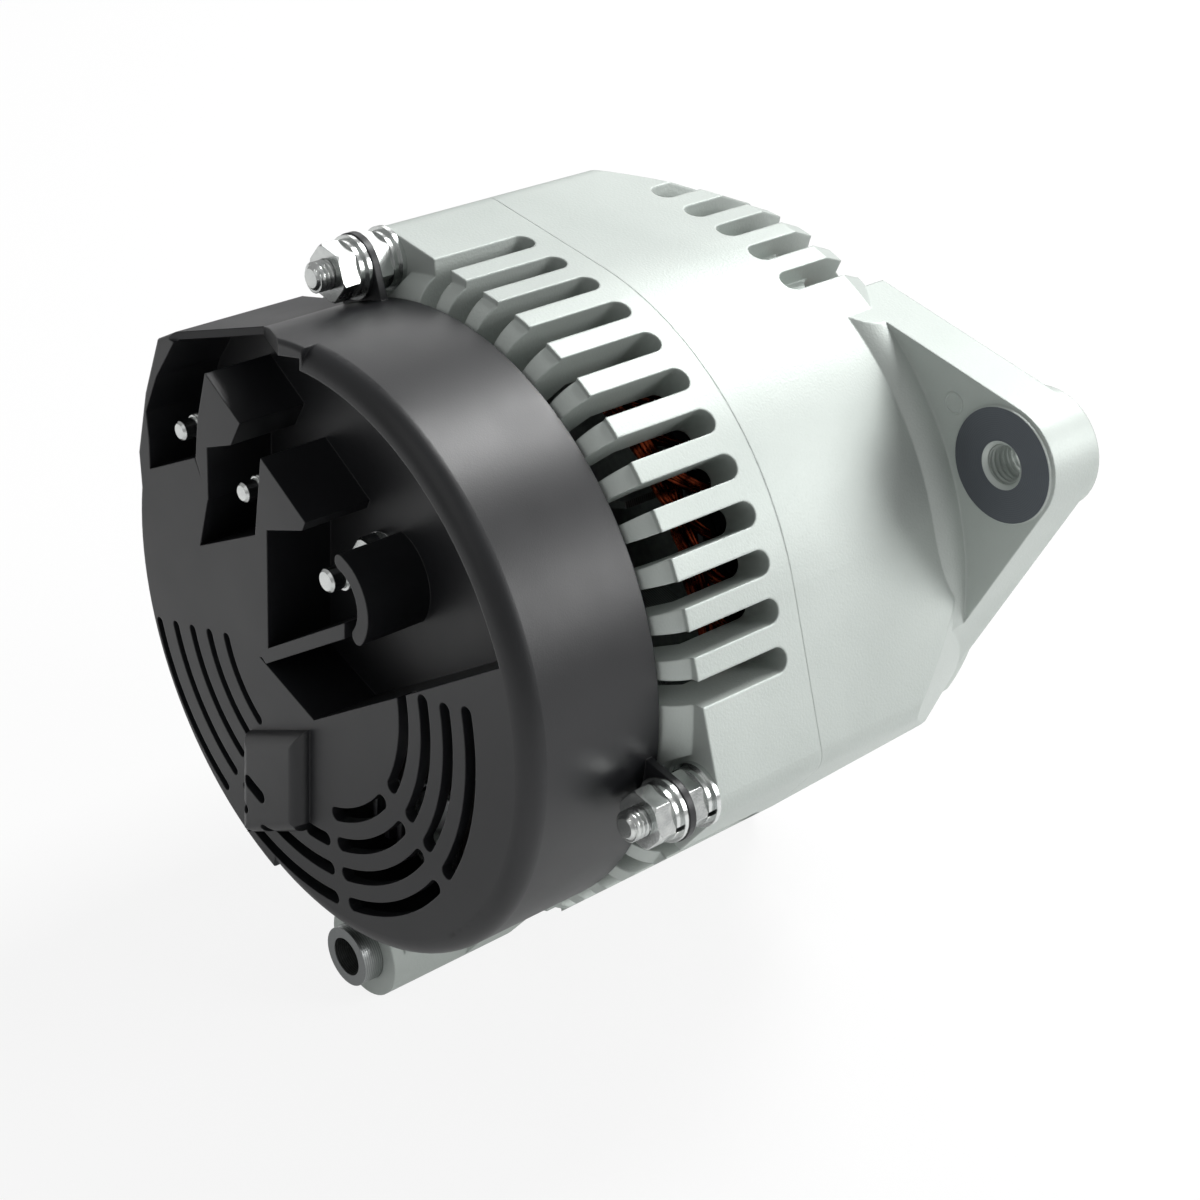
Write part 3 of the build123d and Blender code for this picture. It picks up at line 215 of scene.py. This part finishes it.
def makePressedCarbon():  # brushes: pressed copper graphite, dull with fine copper specks
    look = {"low": "6B4636", "high": "1C1B1C", "speck": 0.5 * mm, "depth": 0.02 * mm}
    material, tree, shader, place = newFinish("pressedCarbon", 0.2)
    specks = addNode(tree, "ShaderNodeTexVoronoi", {"Scale": 1 / look["speck"]}, {"Vector": place})
    contrast = addNode(tree, "ShaderNodeMapRange", {"From Min": 0.08, "From Max": 0.2}, {
        "Value": specks.outputs["Distance"]})
    colour = addNode(tree, "ShaderNodeMix", {
        "data_type": "RGBA", 6: hexColour(look["low"]), 7: hexColour(look["high"])}, {0: contrast.outputs["Result"]})
    rough = addNode(tree, "ShaderNodeMapRange", {"To Min": 0.4, "To Max": 0.6}, {"Value": specks.outputs["Distance"]})
    bump = addNode(tree, "ShaderNodeBump", {"Distance": look["depth"]}, {"Height": specks.outputs["Distance"]})
    dress(tree, shader, colour, rough, bump)
    return material


def makeRolledAluminium():  # heat sinks: stamped sheet with fine rolling lines along X
    look = {"low": "9FA2A4", "high": "CACDCE", "line": 0.5 * mm, "stretch": 25, "depth": 0.01 * mm, "edge": 0.2 * mm}
    material, tree, shader, place = newFinish("rolledAluminium", 1.0)
    along = addNode(tree, "ShaderNodeMapping", {"Scale": (1 / look["stretch"], 1.0, 1.0)}, {"Vector": place})
    lines = addNode(tree, "ShaderNodeTexNoise", {"Scale": 1 / look["line"], "Detail": 2.0}, {
        "Vector": along.outputs["Vector"]})
    colour = addNode(tree, "ShaderNodeMix", {
        "data_type": "RGBA", 6: hexColour(look["low"]), 7: hexColour(look["high"])}, {0: lines.outputs["Fac"]})
    rough = addNode(tree, "ShaderNodeMapRange", {"To Min": 0.26, "To Max": 0.42}, {"Value": lines.outputs["Fac"]})
    edge = addNode(tree, "ShaderNodeBevel", {"Radius": look["edge"], "samples": 4})
    bump = addNode(tree, "ShaderNodeBump", {"Distance": look["depth"]}, {
        "Height": lines.outputs["Fac"], "Normal": edge.outputs["Normal"]})
    dress(tree, shader, colour, rough, bump)
    return material


def makeSpotFaceWithPaintedShade(centre):  # cast aluminium faced with a cutter: bare metal, with faint rings round the hole; its dark grey colour is painted shade, standing in for the dark surroundings that the smooth face reflects
    look = {"low": "6A6D74", "high": "73767D", "pitch": 0.4 * mm, "depth": 0.002 * mm}
    material, tree, shader, place = newFinish("spotFacedAluminiumPaintedShade", 1.0)
    centred = addNode(tree, "ShaderNodeMapping", {"Location": (-centre.x, 0.0, -centre.z)}, {"Vector": place})
    rings = addNode(tree, "ShaderNodeTexWave", {
        "wave_type": "RINGS", "rings_direction": "Y", "Scale": math.pi / 10 / look["pitch"], "Distortion": 0.5},
        {"Vector": centred.outputs["Vector"]})
    colour = addNode(tree, "ShaderNodeMix", {
        "data_type": "RGBA", 6: hexColour(look["low"]), 7: hexColour(look["high"])}, {0: rings.outputs["Fac"]})
    rough = addNode(tree, "ShaderNodeMapRange", {"To Min": 0.34, "To Max": 0.46}, {"Value": rings.outputs["Fac"]})
    bump = addNode(tree, "ShaderNodeBump", {"Distance": look["depth"]}, {"Height": rings.outputs["Fac"]})
    dress(tree, shader, colour, rough, bump)
    return material


zincPlate = makeZincPlate()
finishes = {
    "casting": makeBlastedCasting(), "black_plastic": makeMouldedNylon(), "zinc_steel": zincPlate,
    "spring_steel": zincPlate, "lamination": makeLaminations(), "copper": makeEnamelledCopper(),
    "carbon": makePressedCarbon(), "plate_aluminium": makeRolledAluminium(),
    "plain_steel": makeTurnedSteel("turnedSteel", "8A8D8D", "AEB1B0", 0.5 * mm, 0.3, 0.42),
    "slip_copper": makeTurnedSteel("turnedCopper", "B4694A", "D98C66", 0.4 * mm, 0.18, 0.3),
    "pulley_steel": makeTurnedSteel("phosphatedSteel", "2B2C2E", "4A4B4D", 0.45 * mm, 0.38, 0.52),
    "bearing_steel": makeCloudyFinish("groundBearingSteel", 1.0, {
        "low": "B4B6B7", "high": "D8DADB", "patch": 5 * mm, "grain": 0.5 * mm, "smooth": 0.08, "rough": 0.2,
        "depth": 0.003 * mm}),
    "cage_plastic": makeCloudyFinish("cagePolyamide", 0.0, {
        "low": "24170D", "high": "41301E", "patch": 7 * mm, "grain": 0.4 * mm, "smooth": 0.38, "rough": 0.54,
        "depth": 0.015 * mm}),
    "bobbin_plastic": makeCloudyFinish("bobbinNylon", 0.0, {
        "low": "AEA487", "high": "CBC7A7", "patch": 7 * mm, "grain": 0.4 * mm, "smooth": 0.42, "rough": 0.6,
        "depth": 0.015 * mm}),
    "brown_plastic": makeCloudyFinish("phenolicMoulding", 0.0, {
        "low": "17100D", "high": "2E241F", "patch": 7 * mm, "grain": 0.4 * mm, "smooth": 0.34, "rough": 0.52,
        "depth": 0.015 * mm})}
forgedSteel = makeCloudyFinish("forgedSteel", 1.0, {  # cold-forged low-carbon steel under a thin dark oil film
    "low": "555758", "high": "858889", "patch": 9 * mm, "grain": 0.8 * mm, "smooth": 0.3, "rough": 0.52,
    "depth": 0.03 * mm})
for subpart in frame["record"]["subparts"]:
    node = frame["nodes"][subpart["node"]]
    isForged = subpart["node"] in ("front_claw_pole", "rear_claw_pole", "rotor_core")
    node.data.materials.clear()
    node.data.materials.append(forgedSteel if isForged else finishes[subpart["material_slot"]])
print("finishes on", len(frame["nodes"]), "nodes")


def addPiece(name, shape, body, slotName, replaced=(), smoothAngle=35, finish=None):
    mesh = bpy.data.meshes.new(name)
    shape.normal_update()
    shape.to_mesh(mesh)
    shape.free()
    mesh.materials.append(finish or finishes[slotName])
    mesh.shade_smooth()
    mesh.set_sharp_from_angle(angle=math.radians(smoothAngle))
    piece = bpy.data.objects.new(name, mesh)
    bpy.context.scene.collection.objects.link(piece)
    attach(piece, body)
    if replaced:
        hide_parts(*replaced)
    return piece


def aroundShaft(radius, degrees, y):
    return Vector((radius * math.cos(math.radians(degrees)), y, radius * math.sin(math.radians(degrees))))


def wireMesh(paths, radius, sides=6):  # round wires along lists of points, as one mesh
    curve = bpy.data.curves.new("wirePaths", "CURVE")
    curve.dimensions = "3D"
    curve.bevel_depth = radius
    curve.bevel_resolution = (sides - 4) // 2
    curve.resolution_u = 3
    curve.use_fill_caps = True
    for path in paths:
        spline = curve.splines.new("NURBS")
        spline.points.add(len(path) - 1)
        for point, place in zip(spline.points, path):
            point.co = (*place, 1.0)
        spline.order_u = 3
        spline.use_endpoint_u = True
    holder = bpy.data.objects.new("wirePaths", curve)
    mesh = bpy.data.meshes.new_from_object(holder)
    bpy.data.objects.remove(holder)
    bpy.data.curves.remove(curve)
    shape = bmesh.new()
    shape.from_mesh(mesh)
    bpy.data.meshes.remove(mesh)
    return shape


# wound wire of the stator: every bundle leaves one slot near the bore and enters another near the rim
winding = {"slots": 36, "span": 3, "wires": 7, "wire": 0.5 * mm, "inner": 49.6 * mm, "outer": 54.6 * mm,
           "height": 14.6 * mm, "spread": 1.3 * mm, "layers": 3, "layerStep": 1.1 * mm, "radialShare": 0.9,
           "degreesPerMm": 0.5, "seed": 11}
coreLow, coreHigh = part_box("stator_core")
pick = random.Random(winding["seed"])
paths = []
pitchAngle = 360 / winding["slots"]
rises = ((0, -0.15), (0, 0.25), (0.1, 0.62), (0.35, 0.93), (0.65, 1.0), (0.9, 0.68), (1, 0.3), (1, -0.15))
for faceY, outward in ((coreLow.y, -1), (coreHigh.y, 1)):
    for slotIndex in range(winding["slots"]):
        for wireIndex in range(winding["wires"]):
            jitter = [pick.uniform(-1, 1) * winding["spread"] for _ in range(3)]
            top = winding["height"] - abs(jitter[0]) - winding["layerStep"] * (wireIndex % winding["layers"])
            path = []
            for share, rise in rises:
                radius = winding["inner"] + (winding["outer"] - winding["inner"]) * share
                radius += jitter[1] * winding["radialShare"]
                angle = pitchAngle * (slotIndex + winding["span"] * share) + jitter[2] / mm * winding["degreesPerMm"]
                path.append(aroundShaft(radius, angle, faceY + outward * top * rise))
            paths.append(path)
for slotIndex in range(winding["slots"]):
    for wireIndex in range(winding["wires"]):
        radius = winding["inner"] + (winding["outer"] - winding["inner"]) * wireIndex / (winding["wires"] - 1)
        ends = [aroundShaft(radius, slotIndex * pitchAngle, y) for y in (coreLow.y - mm, coreHigh.y + mm)]
        paths.append([ends[0], (ends[0] + ends[1]) / 2, ends[1]])
addPiece("statorWires", wireMesh(paths, winding["wire"]), "housing", "copper", ("stator_windings",), 60)
print("stator wires", len(paths))


def helix(profile, pitch, low, high, steps=20):  # a true screw thread: one tooth spun along Y, cut flat at both ends
    tooth = bmesh.new()
    turns = math.ceil((high - low) / pitch) + 2
    places = [tooth.verts.new((x, low - pitch + y * pitch, 0)) for x, y in profile]
    edges = [tooth.edges.new(pair) for pair in zip(places, places[1:])]
    bmesh.ops.spin(tooth, geom=places + edges, cent=(0, 0, 0), axis=(0, 1, 0), dvec=(0, pitch / steps, 0),
                   angle=2 * math.pi * turns, steps=steps * turns)
    bmesh.ops.remove_doubles(tooth, verts=tooth.verts[:], dist=0.01 * mm)
    for y, side in ((low, -1), (high, 1)):
        bmesh.ops.bisect_plane(tooth, geom=tooth.verts[:] + tooth.edges[:] + tooth.faces[:], dist=0.001 * mm,
                               plane_co=(0, y, 0), plane_no=(0, side, 0), clear_outer=True)
    return tooth


def threadedRod(radius, pitch, low, high):
    depth = 0.6 * pitch
    rod = helix([(radius - depth, 0), (radius, 0.42), (radius, 0.58), (radius - depth, 1)], pitch, low, high)
    for y in (low, high):
        rim = [e for e in rod.edges if e.is_boundary and all(abs(v.co.y - y) < 0.01 * mm for v in e.verts)]
        bmesh.ops.edgeloop_fill(rod, edges=rim)
    bmesh.ops.recalc_face_normals(rod, faces=rod.faces[:])
    return rod


def roundBar(radius, low, high, chamfer, segments=32):
    bar = bmesh.new()
    bmesh.ops.create_cone(bar, cap_ends=True, segments=segments, radius1=radius, radius2=radius, depth=high - low)
    bmesh.ops.rotate(bar, verts=bar.verts[:], cent=(0, 0, 0), matrix=Matrix.Rotation(-math.pi / 2, 3, "X"))
    bmesh.ops.translate(bar, verts=bar.verts[:], vec=(0, (low + high) / 2, 0))
    rims = [e for e in bar.edges if abs(e.verts[0].co.y - e.verts[1].co.y) < 0.01 * mm]
    bmesh.ops.bevel(bar, geom=rims, offset=chamfer, offset_type="OFFSET", affect="EDGES", segments=1, profile=0.5,
                    material=-1)
    return bar


def block(low, high, edge):  # box between two corners with rounded edges
    shape = bmesh.new()
    bmesh.ops.create_cube(shape, size=1.0)
    size = Vector(high) - Vector(low)
    bmesh.ops.scale(shape, vec=size, verts=shape.verts[:])
    bmesh.ops.translate(shape, vec=Vector(low) + size / 2, verts=shape.verts[:])
    bmesh.ops.bevel(shape, geom=shape.edges[:], offset=edge, offset_type="OFFSET", affect="EDGES", segments=2,
                    profile=0.5, material=-1)
    return shape


def joined(shapes):
    whole = bmesh.new()
    for shape in shapes:
        mesh = bpy.data.meshes.new("part")
        shape.to_mesh(mesh)
        shape.free()
        whole.from_mesh(mesh)
        bpy.data.meshes.remove(mesh)
    return whole


def moved(shape, vec):
    bmesh.ops.translate(shape, verts=shape.verts[:], vec=vec)
    return shape


# through studs with rolled threads
stud = {"radius": 3 * mm, "pitch": 1 * mm, "core": 2.3 * mm, "circle": 68.6 * mm, "angles": (67, 187, 307),
        "plainTip": 0.6 * mm, "chamfer": 0.4 * mm}
studLow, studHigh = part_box("through_studs")
studs = []
for angle in stud["angles"]:
    centre = aroundShaft(stud["circle"], angle, 0)
    studs.append(moved(threadedRod(stud["radius"], stud["pitch"], studLow.y, studHigh.y - stud["plainTip"]), centre))
    studs.append(moved(roundBar(stud["core"], studLow.y, studHigh.y, stud["chamfer"]), centre))
addPiece("threadedStuds", joined(studs), "housing", "zinc_steel", ("through_studs",), 25)
print("through studs", len(stud["angles"]))

# terminal studs: hexagon collar under the cover, thread, and a plain pilot at the tip
terminal = {"pilot": 3.5 * mm, "collar": 2 * mm, "collarRadius": 5.2 * mm, "sizes": {
    "main_output_stud": ("mainStud", 2.5 * mm, 0.8 * mm), "second_output_stud": ("secondStud", 2.5 * mm, 0.8 * mm),
    "charge_lamp_stud": ("lampStud", 3.0 * mm, 1.0 * mm)}}
for nodeName, (pieceName, radius, pitch) in terminal["sizes"].items():
    low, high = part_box(nodeName)
    centre = Vector(((low.x + high.x) / 2, 0, (low.z + high.z) / 2))
    core = radius - 0.62 * pitch
    shapes = [roundBar(terminal["collarRadius"], low.y, low.y + terminal["collar"], 0.4 * mm, 6),
              roundBar(core, low.y, high.y, 0.5 * mm),
              threadedRod(radius, pitch, low.y + terminal["collar"] + mm, high.y - terminal["pilot"])]
    addPiece(pieceName, moved(joined(shapes), centre), "housing", "zinc_steel", (nodeName,), 25)
print("terminal studs", len(terminal["sizes"]))

# adjusting ear: faced pad, tapped hole and the round mark of an ejector pin
ear = {"angle": 151.2, "distance": 82.5 * mm, "hole": 4.0 * mm, "pad": 11.5 * mm, "chamfer": 0.8 * mm,
       "padY": 39.3 * mm, "frontY": 25.6 * mm, "pitch": 1.25 * mm, "mark": (-58.4 * mm, 38.5 * mm, 46.9 * mm),
       "markRadius": 2.1 * mm}
earCentre = aroundShaft(ear["distance"], ear["angle"], 0)
face = bmesh.new()
innerRadius = ear["hole"] + ear["chamfer"] + 0.05 * mm
outline = [(innerRadius, -0.1), (innerRadius, 0.04), (ear["pad"] - 0.1 * mm, 0.04), (ear["pad"], -0.1)]
corners = [face.verts.new((x, ear["padY"] + y * mm, 0)) for x, y in outline]
edges = [face.edges.new(pair) for pair in zip(corners, corners[1:] + corners[:1])]
bmesh.ops.spin(face, geom=corners + edges, cent=(0, 0, 0), axis=(0, 1, 0), angle=2 * math.pi, steps=72,
               use_merge=True)
bmesh.ops.recalc_face_normals(face, faces=face.faces[:])
# the faced pad carries painted shade: its dark grey stands in for the dark reflection of the smooth faced metal
addPiece("earFace", moved(face, earCentre), "housing", "casting", finish=makeSpotFaceWithPaintedShade(earCentre))
thread = helix([(ear["hole"] + 0.05 * mm, 0), (ear["hole"] - 0.3 * mm, 0.42), (ear["hole"] - 0.3 * mm, 0.58),
                (ear["hole"] + 0.05 * mm, 1)], ear["pitch"], ear["frontY"] + 0.8 * mm, ear["padY"] - ear["chamfer"])
bmesh.ops.solidify(thread, geom=thread.faces[:], thickness=0.08 * mm)
bmesh.ops.recalc_face_normals(thread, faces=thread.faces[:])
addPiece("earThread", moved(thread, earCentre), "housing", "casting", smoothAngle=25)
mark = bmesh.new()
bmesh.ops.create_circle(mark, segments=8, radius=0.22 * mm)
bmesh.ops.translate(mark, verts=mark.verts[:], vec=(ear["markRadius"], 0, 0))
bmesh.ops.spin(mark, geom=mark.verts[:] + mark.edges[:], cent=(0, 0, 0), axis=(0, 1, 0), angle=2 * math.pi, steps=40,
               use_merge=True)
bmesh.ops.recalc_face_normals(mark, faces=mark.faces[:])
addPiece("ejectorMark", moved(mark, Vector(ear["mark"])), "housing", "casting", smoothAngle=80)
print("adjusting ear dressed")

# brush springs: the wire of the nodes, copied into a mesh of its own
for side in ("inner", "outer"):
    nodeName = side + "_brush_spring"
    wire = bmesh.new()
    wire.from_mesh(frame["nodes"][nodeName].data)
    bmesh.ops.remove_doubles(wire, verts=wire.verts[:], dist=0.001 * mm)
    low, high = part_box(nodeName)
    coil = addPiece(side + "BrushSpring", wire, "housing", "spring_steel", (nodeName,), 60)
    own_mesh(coil)

# regulator: black body under a finned aluminium cooler
regulator = {"bodyShare": 0.55, "fins": 8, "finWidth": 1.5 * mm, "finInset": 2 * mm, "edge": 0.5 * mm,
             "plate": 1.5 * mm, "coolerEdge": 0.3 * mm, "screwX": 13 * mm, "screwRoom": 3 * mm}
low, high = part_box("regulator")
splitY = low.y + (high.y - low.y) * regulator["bodyShare"]
addPiece("regulatorBody", block(low, (high.x, splitY, high.z), regulator["edge"]), "housing", "brown_plastic",
         ("regulator",))
cooler = [block((low.x + mm, splitY, low.z + mm), (high.x - mm, splitY + regulator["plate"], high.z - mm),
                regulator["coolerEdge"])]
finSpan = high.x - low.x - 2 * regulator["finInset"] - regulator["finWidth"]
for index in range(regulator["fins"]):
    x = low.x + regulator["finInset"] + finSpan * index / (regulator["fins"] - 1)
    if abs(abs(x + regulator["finWidth"] / 2) - regulator["screwX"]) < regulator["screwRoom"]:
        continue  # the two screws stand here
    cooler.append(block((x, splitY + mm, low.z + 1.5 * mm), (x + regulator["finWidth"], high.y, high.z - 1.5 * mm),
                        regulator["coolerEdge"]))
addPiece("regulatorCooler", joined(cooler), "housing", "plate_aluminium")
print("regulator fins", len(cooler) - 1)


def makePaper(name, own, mirrored):  # pale backdrop paper: white to the eye, with a faint shadow of the object
    material = bpy.data.materials.new(name)
    material.use_nodes = True
    tree = material.node_tree
    tree.nodes.clear()
    paper = addNode(tree, "ShaderNodeBsdfDiffuse", {"Color": hexColour("EFEFEF")})
    glow = addNode(tree, "ShaderNodeEmission", {"Color": (1, 1, 1, 1), "Strength": 1.0})
    rays = addNode(tree, "ShaderNodeLightPath")
    glossy = addNode(tree, "ShaderNodeMath", {"operation": "MULTIPLY", 1: mirrored}, {
        0: rays.outputs["Is Glossy Ray"]})
    seen = addNode(tree, "ShaderNodeMath", {"operation": "MAXIMUM"}, {
        0: rays.outputs["Is Camera Ray"], 1: glossy.outputs[0]})
    seen = addNode(tree, "ShaderNodeMath", {"operation": "MAXIMUM"}, {
        0: seen.outputs[0], 1: rays.outputs["Is Transmission Ray"]})
    share = addNode(tree, "ShaderNodeMath", {"operation": "MULTIPLY", 1: own}, {0: seen.outputs[0]})
    mix = addNode(tree, "ShaderNodeMixShader", links={0: share.outputs[0], 1: paper.outputs[0], 2: glow.outputs[0]})
    addNode(tree, "ShaderNodeOutputMaterial", links={"Surface": mix.outputs[0]})
    return material


studio = {"floorSize": 24.0, "floorDrop": 0.3 * mm, "world": 0.36, "shadowShare": 0.86, "mirrored": 0.3}
floorShape = bmesh.new()
bmesh.ops.create_grid(floorShape, x_segments=1, y_segments=1, size=studio["floorSize"] / 2)
bmesh.ops.translate(floorShape, verts=floorShape.verts[:], vec=(0, 0.07, cadBox[0][2] - studio["floorDrop"]))
floorMesh = bpy.data.meshes.new("floor")
floorShape.to_mesh(floorMesh)
floorShape.free()
floorMesh.materials.append(makePaper("palePaper", studio["shadowShare"], studio["mirrored"]))
floor = bpy.data.objects.new("floor", floorMesh)
bpy.context.scene.collection.objects.link(floor)

world = bpy.data.worlds.new("studioAir")
bpy.context.scene.world = world
world.use_nodes = True
air = world.node_tree
air.nodes.clear()
rays = addNode(air, "ShaderNodeLightPath")
soft = addNode(air, "ShaderNodeBackground", {"Color": (1, 1, 1, 1), "Strength": studio["world"]})
white = addNode(air, "ShaderNodeBackground", {"Color": (1, 1, 1, 1), "Strength": 1.0})
mixAir = addNode(air, "ShaderNodeMixShader", links={
    0: rays.outputs["Is Camera Ray"], 1: soft.outputs[0], 2: white.outputs[0]})
addNode(air, "ShaderNodeOutputWorld", links={"Surface": mixAir.outputs[0]})

view = {"right": Vector((-0.6608, -0.7484, 0.0578)), "up": Vector((0.4185, -0.3034, 0.8561)),
        "back": Vector((-0.6231, 0.5899, 0.5137)), "place": Vector((-0.3260, 0.3809, 0.2553)), "lens": 75.0}
target = Vector((0, 0.065, 0))


def softbox(name, right, up, back, size, power):  # a square lamp placed by the camera's directions, facing the object
    data = bpy.data.lights.new(name, "AREA")
    data.size = size
    data.energy = power
    lamp = bpy.data.objects.new(name, data)
    lamp.location = target + view["right"] * right + view["up"] * up + view["back"] * back
    lamp.rotation_euler = (lamp.location - target).to_track_quat("Z", "Y").to_euler()
    bpy.context.scene.collection.objects.link(lamp)


softbox("keyLamp", 0.6, 1.05, 0.05, 0.4, 12.0)
softbox("sideLamp", 1.2, 0.3, 0.35, 0.5, 7.0)
softbox("topLamp", 0.0, 1.0, -0.55, 0.5, 1.4)
softbox("fillLamp", -0.6, 0.4, 1.0, 0.8, 0.8)

camera = bpy.data.objects.new("camera", bpy.data.cameras.new("camera"))
camera.data.lens = view["lens"]
camera.data.sensor_width = 36.0
camera.data.clip_start = 0.01
axes = Matrix((view["right"], view["up"], view["back"])).transposed().to_4x4()
camera.matrix_world = Matrix.Translation(view["place"]) @ axes
bpy.context.scene.collection.objects.link(camera)
bpy.context.scene.camera = camera
bpy.context.scene.view_settings.view_transform = "Standard"
print("studio ready")
